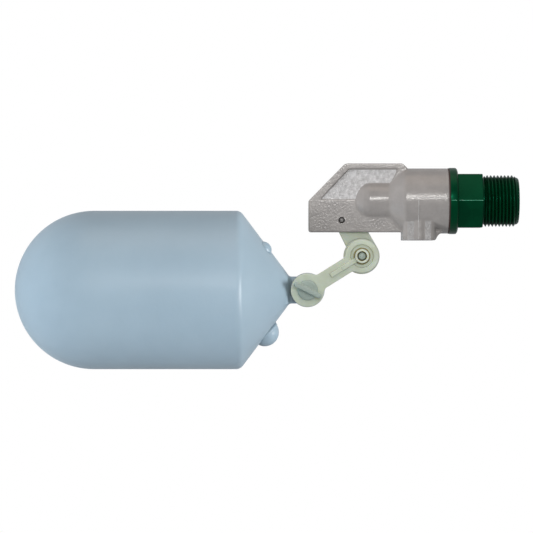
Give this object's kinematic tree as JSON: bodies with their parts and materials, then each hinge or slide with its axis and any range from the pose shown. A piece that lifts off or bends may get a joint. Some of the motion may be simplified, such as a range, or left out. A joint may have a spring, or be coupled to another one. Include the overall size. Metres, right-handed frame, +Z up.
{
  "type": "float valve",
  "caption": "Threaded float valve for a water trough: a hollow float on a link turns a cam lever, which pushes a plunger to close the inlet.",
  "frame": {"origin": "on the axis of the inlet's pipe thread, at the hand-tight gauge plane, 8.6 mm inside the thread's end", "axes": "+X along the inlet's axis, out of the inlet towards the supply pipe; +Z up as installed, with the outlet pointing down; the pivot pin and the thumb screws lie along Y, and the float hangs towards -X"},
  "size_m": [0.261, 0.0822, 0.1066],
  "materials": {
    "casing_plastic": "grey-beige, slightly translucent moulded plastic with a soft sheen",
    "adapter_plastic": "dark green moulded nylon, glossy",
    "gasket_rubber": "dark red-brown sealing washer",
    "seal_rubber": "black rubber",
    "nozzle_plastic": "white moulded plastic",
    "screen_steel": "punched stainless steel",
    "pin_steel": "ground stainless steel pin",
    "plunger_plastic": "off-white acetal",
    "lever_plastic": "ivory acetal, slightly translucent, soft sheen",
    "screw_plastic": "milky bluish-white nylon",
    "float_plastic": "milky, bluish-white blow-moulded polyethylene"
  },
  "bodies": {
    "valve": {"valve_casing": "casing_plastic", "inlet_adapter": "adapter_plastic", "flange_gasket": "gasket_rubber", "adapter_o_ring": "seal_rubber", "nozzle_seat": "nozzle_plastic", "inlet_screen": "screen_steel", "screen_ring": "adapter_plastic", "pivot_pin": "pin_steel"},
    "plunger": {"plunger": "plunger_plastic", "plunger_o_ring": "seal_rubber", "seat_disc": "seal_rubber", "disc_retainer": "plunger_plastic"},
    "arm": {"cam_lever": "lever_plastic"},
    "link": {"extension_link": "lever_plastic"},
    "float": {"float_shell": "float_plastic", "float_fill_plug": "float_plastic", "float_vent_plug": "float_plastic"},
    "lever_screw": {"lever_thumb_screw": "screw_plastic"},
    "float_screw": {"float_thumb_screw": "screw_plastic"}
  },
  "joints": [
    {"name": "arm_swing", "type": "hinge", "parent": "valve", "child": "arm", "pos_m": [-0.08304, 0, -0.01004], "axis": [0, 1, 0], "range_deg": [0, 24]},
    {"name": "plunger_slide", "type": "slide", "parent": "valve", "child": "plunger", "axis": [1, 0, 0], "range_m": [0, 0.0036]},
    {"name": "link_angle", "type": "hinge", "parent": "arm", "child": "link", "pos_m": [-0.07261, 0, -0.02863], "axis": [0, 1, 0], "range_deg": [-40, 20]},
    {"name": "float_angle", "type": "hinge", "parent": "link", "child": "float", "pos_m": [-0.10068, 0, -0.04617], "axis": [0, 1, 0], "range_deg": [-40, 15]},
    {"name": "lever_screw_turn", "type": "hinge", "parent": "link", "child": "lever_screw", "pos_m": [-0.07261, 0, -0.02863], "axis": [0, 1, 0], "range_deg": [0, 180]},
    {"name": "float_screw_turn", "type": "hinge", "parent": "float", "child": "float_screw", "pos_m": [-0.10068, 0, -0.04617], "axis": [0, -1, 0], "range_deg": [0, 180]}
  ],
  "couplings": [
    {"joint": "plunger_slide", "follows": "arm_swing", "m_per_rad": 0.0085}
  ]
}
